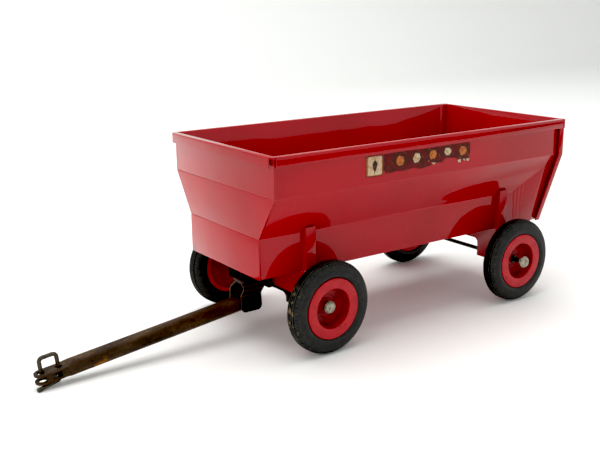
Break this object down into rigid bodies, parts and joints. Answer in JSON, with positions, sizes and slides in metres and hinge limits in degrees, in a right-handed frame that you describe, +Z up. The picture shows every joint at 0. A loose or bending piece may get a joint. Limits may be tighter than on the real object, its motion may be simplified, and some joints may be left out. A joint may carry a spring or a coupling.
{
  "type": "toy grain wagon",
  "caption": "Pressed-steel flare-box farm wagon with sloping sides, rubber-tyred wheels, steered front axle, hinged tongue and drop-in hitch pin.",
  "frame": {"origin": "on the floor, under the middle of the whole length from the tongue's tip to the rear rim", "axes": "+X towards the rear, -X towards the tongue's tip, +Y towards the wagon's right side, +Z up"},
  "size_m": [0.3205, 0.1176, 0.1083],
  "materials": {
    "red_enamel": "glossy",
    "zinc_plated": "dull, spotted with rust",
    "black_steel": "worn black paint with rusty edges",
    "rusty_tube": "rusted brown",
    "pin_wire": "tarnished",
    "axle_steel": "dark, oily",
    "wheel_enamel": "satin",
    "tyre_rubber": "worn rubber",
    "worn_decal": "worn transfer"
  },
  "bodies": {
    "chassis": {"floor_pan": "red_enamel", "left_side_panel": "red_enamel", "right_side_panel": "red_enamel", "front_panel": "red_enamel", "rear_panel": "red_enamel", "front_bolster": "red_enamel", "rear_bolster": "red_enamel", "kingpin": "zinc_plated", "rear_axle": "axle_steel", "rear_axle_spacers": "zinc_plated", "rear_axle_rings": "axle_steel", "rear_left_cap": "zinc_plated", "rear_right_cap": "zinc_plated", "left_decal": "worn_decal", "right_decal": "worn_decal"},
    "steered_axle": {"front_axle_yoke": "black_steel", "tongue_bracket": "black_steel", "tongue_pivot_pin": "pin_wire", "front_axle": "axle_steel", "front_axle_spacers": "zinc_plated", "front_left_cap": "zinc_plated", "front_right_cap": "zinc_plated"},
    "tongue": {"tongue_tube": "rusty_tube"},
    "pin": {"hitch_pin": "pin_wire"},
    "front_left_wheel": {"front_left_disc": "wheel_enamel", "front_left_tyre": "tyre_rubber"},
    "front_right_wheel": {"front_right_disc": "wheel_enamel", "front_right_tyre": "tyre_rubber"},
    "rear_left_wheel": {"rear_left_disc": "wheel_enamel", "rear_left_tyre": "tyre_rubber"},
    "rear_right_wheel": {"rear_right_disc": "wheel_enamel", "rear_right_tyre": "tyre_rubber"}
  },
  "joints": [
    {"name": "steering", "type": "hinge", "parent": "chassis", "child": "steered_axle", "pos_m": [-0.02174, 0, 0.0277], "axis": [0, 0, 1], "range_deg": [-12, 9]},
    {"name": "tongue_lift", "type": "hinge", "parent": "steered_axle", "child": "tongue", "pos_m": [-0.03773, -0.0005, 0.0191], "axis": [-0.0314, 0.9995, 0], "range_deg": [0, 38]},
    {"name": "hitch_pin_drop", "type": "slide", "parent": "tongue", "child": "pin", "axis": [0.1128, 0.0035, -0.9936], "range_m": [-0.0006, 0.0058]},
    {"name": "front_left_wheel_spin", "type": "hinge", "parent": "steered_axle", "child": "front_left_wheel", "pos_m": [-0.01783, -0.0479, 0.0251], "axis": [-0.0314, 0.9995, 0], "continuous": true},
    {"name": "front_right_wheel_spin", "type": "hinge", "parent": "steered_axle", "child": "front_right_wheel", "pos_m": [-0.02084, 0.04805, 0.0251], "axis": [-0.0314, 0.9995, 0], "continuous": true},
    {"name": "rear_left_wheel_spin", "type": "hinge", "parent": "chassis", "child": "rear_left_wheel", "pos_m": [0.12427, -0.048, 0.0251], "axis": [0, 1, 0], "continuous": true},
    {"name": "rear_right_wheel_spin", "type": "hinge", "parent": "chassis", "child": "rear_right_wheel", "pos_m": [0.12427, 0.048, 0.0251], "axis": [0, 1, 0], "continuous": true}
  ]
}
